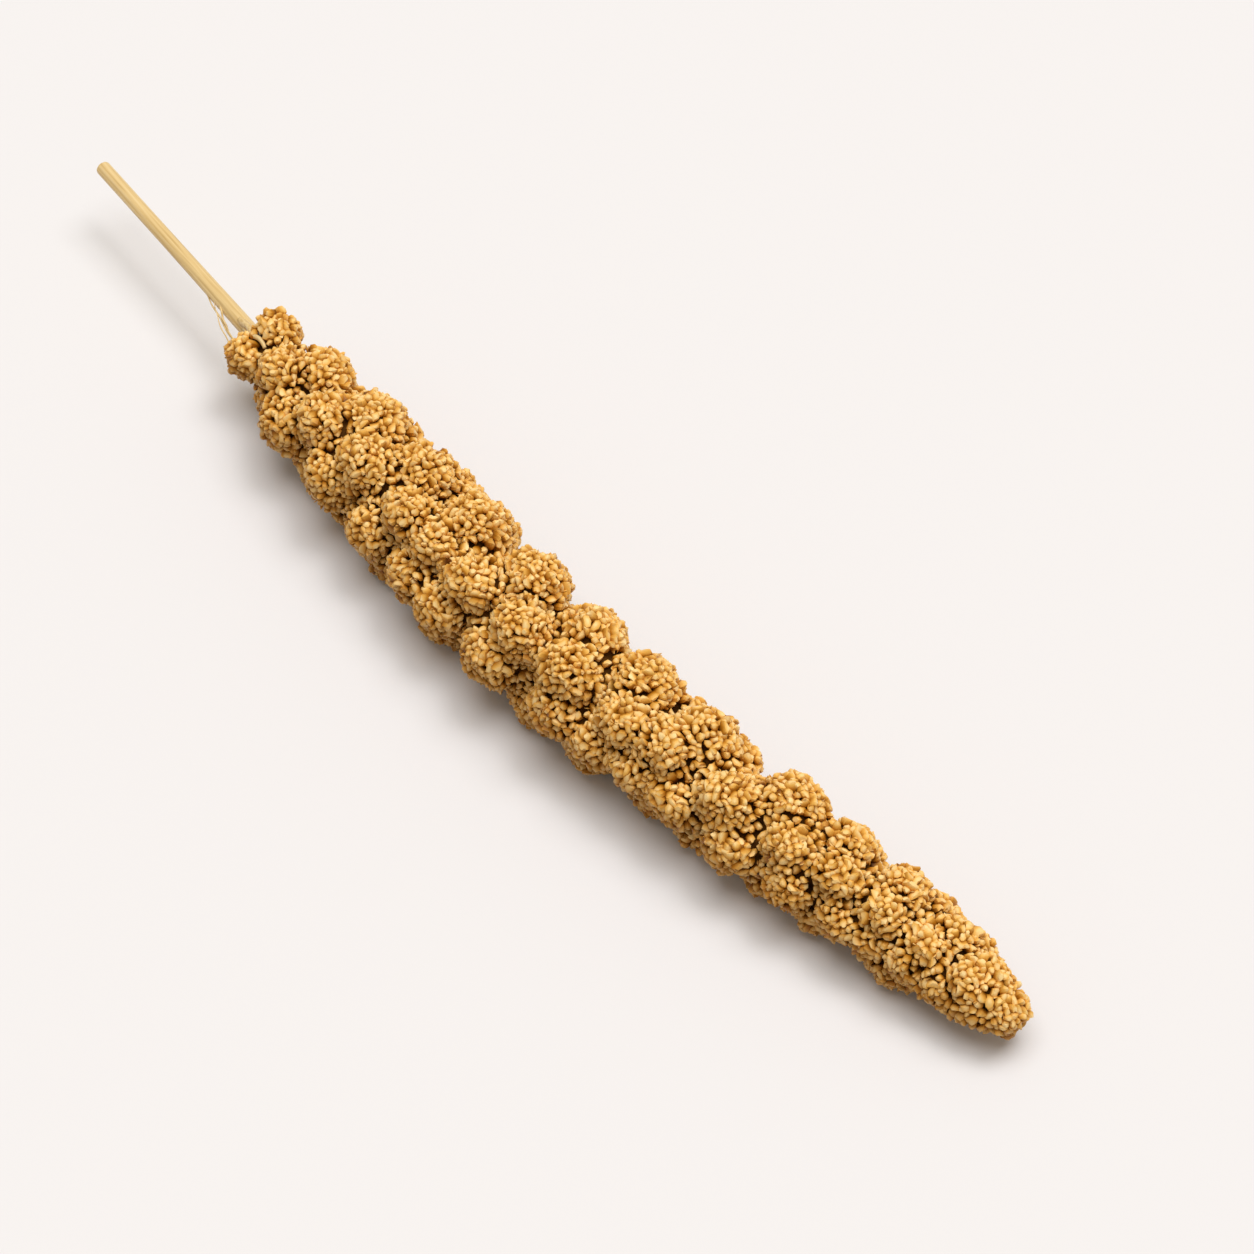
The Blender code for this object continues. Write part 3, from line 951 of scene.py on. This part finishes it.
def makeStrawMaterial():
    # Streaks along the stem: noise on coordinates turned onto the stem and drawn out along it
    s = strawFinish
    material, tree, shader = newMaterial("straw")
    place = addNode(tree, "ShaderNodeTexCoord").outputs["Object"]
    drawn = addNode(tree, "ShaderNodeMapping", vector_type="TEXTURE")
    drawn.inputs["Rotation"].default_value = tuple(math.radians(angle) for angle in s["streakTurn"])
    drawn.inputs["Scale"].default_value = (s["streakLength"], 1.0, 1.0)
    tree.links.new(place, drawn.inputs["Vector"])
    streak = useMottle(tree, mottle, drawn.outputs["Vector"], *s["streak"])
    tree.links.new(rampOf(tree, streak, s["stops"]), shader.inputs["Base Color"])
    shader.inputs["Roughness"].default_value = s["roughness"]
    addBump(tree, shader, streak, s)
    return material


grainMaterial = makeGrainMaterial()
coreMaterial = makeCoreMaterial()
strawMaterial = makeStrawMaterial()

buildPiece("head_core", *coreShape(), "grain", coreMaterial, "seed_head")
buildFlakes(*buildGrains())
buildPiece("straw_stem", *stemShape(), "straw", strawMaterial, "stem")
buildPiece("base_strands", *strandShape(), "straw", strawMaterial, "stem")

# Floor, light and camera: the floor in metres, the camera's target and distance in millimetres,
# each lamp with its strength, the way towards it and how wide it looks in degrees
stageSettings = {
    "floorHalf": 12.0,
    "floor": (0.747, 0.732, 0.744),
    "floorRoughness": 0.9,
    "floorSpecular": 0.1,
    "world": (1.0, 0.92, 0.78),
    "fill": 0.40,
    "lamps": (
        ("overhead", 1.80, (0.0, 0.0, 1.0), 50.0),
        ("key", 1.0, (0.12, 0.42, 1.0), 30.0),
    ),
    "target": (24.6, 12.75, 12.0),
    "elevation": 50.0,
    "azimuth": 50.0,
    "distance": 841.8,
    "fieldOfView": 16.0,
    "sensor": 36.0,
    "clipEnd": 100.0,
}


def buildStage():
    s = stageSettings
    half = s["floorHalf"]
    mesh = bpy.data.meshes.new("floor")
    outline = [(-half, -half, 0), (half, -half, 0), (half, half, 0), (-half, half, 0)]
    mesh.from_pydata(outline, [], [(0, 1, 2, 3)])
    floor = bpy.data.objects.new("floor", mesh)
    bpy.context.scene.collection.objects.link(floor)
    material, _, shader = newMaterial("pale_floor")
    shader.inputs["Base Color"].default_value = (*s["floor"], 1)
    shader.inputs["Roughness"].default_value = s["floorRoughness"]
    shader.inputs["Specular IOR Level"].default_value = s["floorSpecular"]
    mesh.materials.append(material)

    world = bpy.data.worlds.new("studio")
    world.use_nodes = True
    back = world.node_tree.nodes["Background"]
    back.inputs["Color"].default_value = (*s["world"], 1)
    back.inputs["Strength"].default_value = s["fill"]
    bpy.context.scene.world = world

    for name, strength, direction, soft in s["lamps"]:
        light = bpy.data.lights.new(name, "SUN")
        light.energy = strength
        light.angle = math.radians(soft)
        lamp = bpy.data.objects.new(name, light)
        lamp.rotation_euler = Vector(direction).to_track_quat("Z", "Y").to_euler()
        bpy.context.scene.collection.objects.link(lamp)
    bpy.context.scene.view_settings.view_transform = "Standard"


def aimCamera():
    # Back from the target along the elevation and the azimuth, which is counted from the front
    s = stageSettings
    up, around = math.radians(s["elevation"]), math.radians(s["azimuth"])
    back = Vector((math.sin(around) * math.cos(up), -math.cos(around) * math.cos(up), math.sin(up)))
    lens = bpy.data.cameras.new("camera")
    lens.sensor_width = s["sensor"]
    lens.lens = s["sensor"] / 2 / math.tan(math.radians(s["fieldOfView"]) / 2)
    lens.clip_end = s["clipEnd"]
    camera = bpy.data.objects.new("camera", lens)
    camera.location = (Vector(s["target"]) + back * s["distance"]) * mm
    camera.rotation_euler = back.to_track_quat("Z", "Y").to_euler()
    bpy.context.scene.collection.objects.link(camera)
    bpy.context.scene.camera = camera


buildStage()
aimCamera()
